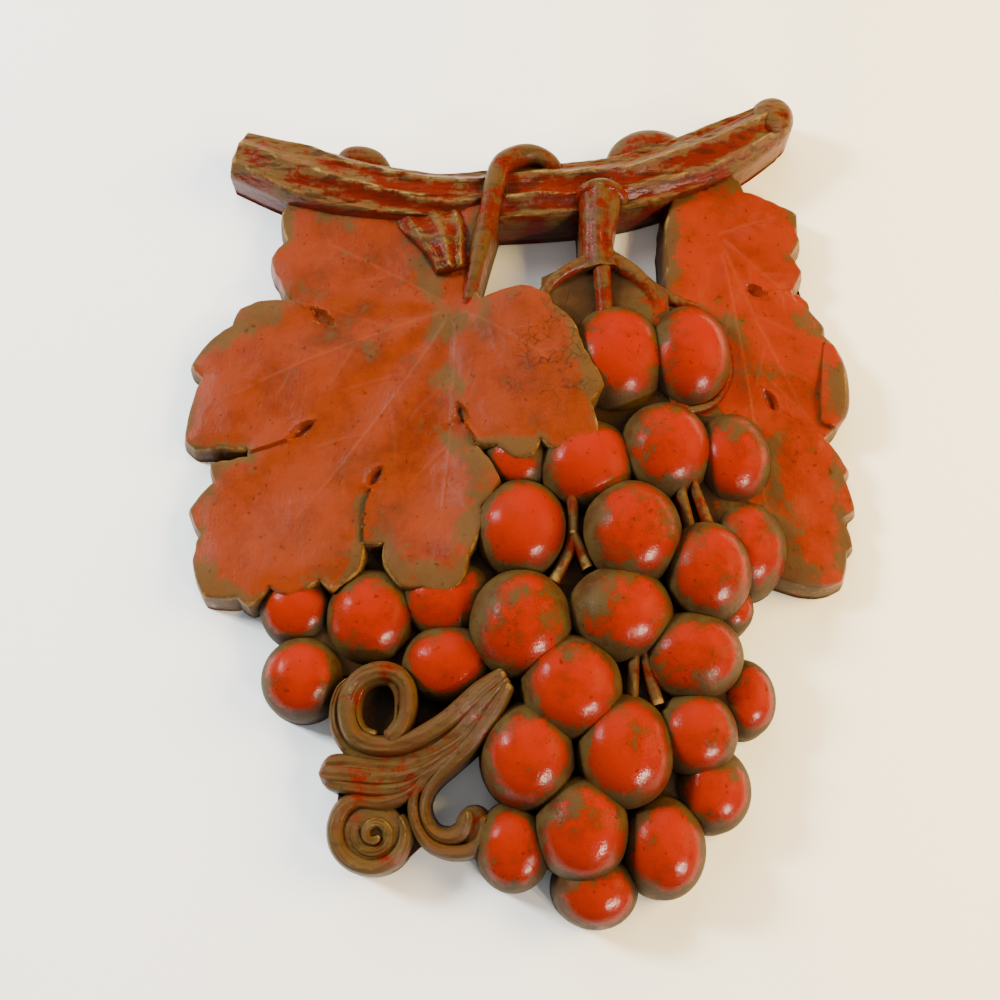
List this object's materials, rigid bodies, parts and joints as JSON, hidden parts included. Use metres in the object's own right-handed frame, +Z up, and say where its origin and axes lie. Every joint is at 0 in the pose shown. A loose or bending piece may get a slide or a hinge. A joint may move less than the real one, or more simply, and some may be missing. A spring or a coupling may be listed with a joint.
{
  "type": "decorative wall plaque",
  "caption": "Cast relief wall plaque of a bunch of grapes with vine leaves and a curled tendril, hanging from a knobbly branch, with worn red paint over bronze.",
  "frame": {"origin": "on the flat back, behind the middle of the branch, where the plaque hangs", "axes": "+Z up the wall, +X to the right seen from the front, -Y out of the wall towards the room"},
  "size_m": [0.2544, 0.032, 0.3188],
  "materials": {
    "worn_red_paint": "satin red-orange paint, rubbed through to olive bronze on edges, ridges and in hollows"
  },
  "bodies": {
    "root": {"plaque": "worn_red_paint"}
  },
  "joints": []
}
